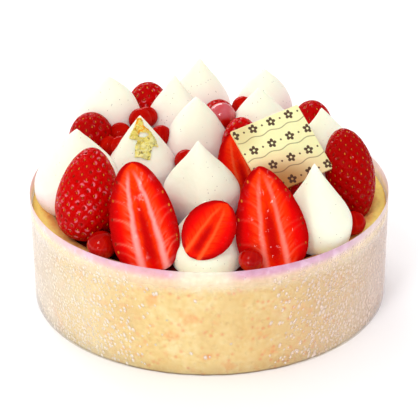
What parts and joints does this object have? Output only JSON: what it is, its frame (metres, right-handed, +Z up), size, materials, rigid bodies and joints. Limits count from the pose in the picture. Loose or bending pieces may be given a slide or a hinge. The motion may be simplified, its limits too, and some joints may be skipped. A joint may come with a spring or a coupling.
{
  "type": "fraisier",
  "caption": "Round fraisier cake in a clear collar, its sponge case crowned with pointed cream drops, strawberries, redcurrants, a white chocolate square and a scrap of gold leaf.",
  "frame": {"origin": "middle of the round base, on the surface the cake stands on", "axes": "+Z up; -Y towards the front of the cake, the side the picture shows; +X to that viewer's right"},
  "size_m": [0.16, 0.16, 0.0868],
  "materials": {
    "sponge": "soft, porous baked crumb, golden",
    "berry_jelly": "dark red, wet gloss",
    "clear_film": "clear film, slightly fogged, with fine drops of water",
    "vanilla_cream": "smooth satin cream with fine vanilla specks",
    "strawberry": "shiny dimpled red skin with golden seeds",
    "cut_strawberry": "wet cut flesh with pale veins, shiny red skin behind",
    "redcurrant": "smooth, glossy, translucent red",
    "white_chocolate": "satin ivory with a printed cocoa pattern",
    "gold_leaf": "crinkled bright gold leaf"
  },
  "bodies": {
    "root": {"sponge_case": "sponge", "berry_jelly": "berry_jelly", "clear_collar": "clear_film", "chocolate_square": "white_chocolate", "gold_leaf": "gold_leaf", "cream_drop_01": "vanilla_cream", "cream_drop_02": "vanilla_cream", "cream_drop_03": "vanilla_cream", "cream_drop_04": "vanilla_cream", "cream_drop_05": "vanilla_cream", "cream_drop_06": "vanilla_cream", "cream_drop_07": "vanilla_cream", "cream_drop_08": "vanilla_cream", "cream_drop_09": "vanilla_cream", "cream_drop_10": "vanilla_cream", "cream_drop_11": "vanilla_cream", "cream_drop_12": "vanilla_cream", "half_strawberry_01": "cut_strawberry", "half_strawberry_02": "cut_strawberry", "half_strawberry_03": "cut_strawberry", "half_strawberry_04": "cut_strawberry", "whole_strawberry_01": "strawberry", "whole_strawberry_02": "strawberry", "whole_strawberry_03": "strawberry", "whole_strawberry_04": "strawberry", "whole_strawberry_05": "strawberry", "whole_strawberry_06": "strawberry", "whole_strawberry_07": "strawberry", "whole_strawberry_08": "strawberry", "whole_strawberry_09": "strawberry", "whole_strawberry_10": "strawberry", "whole_strawberry_11": "strawberry", "whole_strawberry_12": "strawberry", "redcurrant_01": "redcurrant", "redcurrant_02": "redcurrant", "redcurrant_03": "redcurrant", "redcurrant_04": "redcurrant", "redcurrant_05": "redcurrant", "redcurrant_06": "redcurrant", "redcurrant_07": "redcurrant", "redcurrant_08": "redcurrant", "redcurrant_09": "redcurrant", "redcurrant_10": "redcurrant", "redcurrant_11": "redcurrant", "redcurrant_12": "redcurrant", "redcurrant_13": "redcurrant", "redcurrant_14": "redcurrant", "redcurrant_15": "redcurrant"}
  },
  "joints": []
}
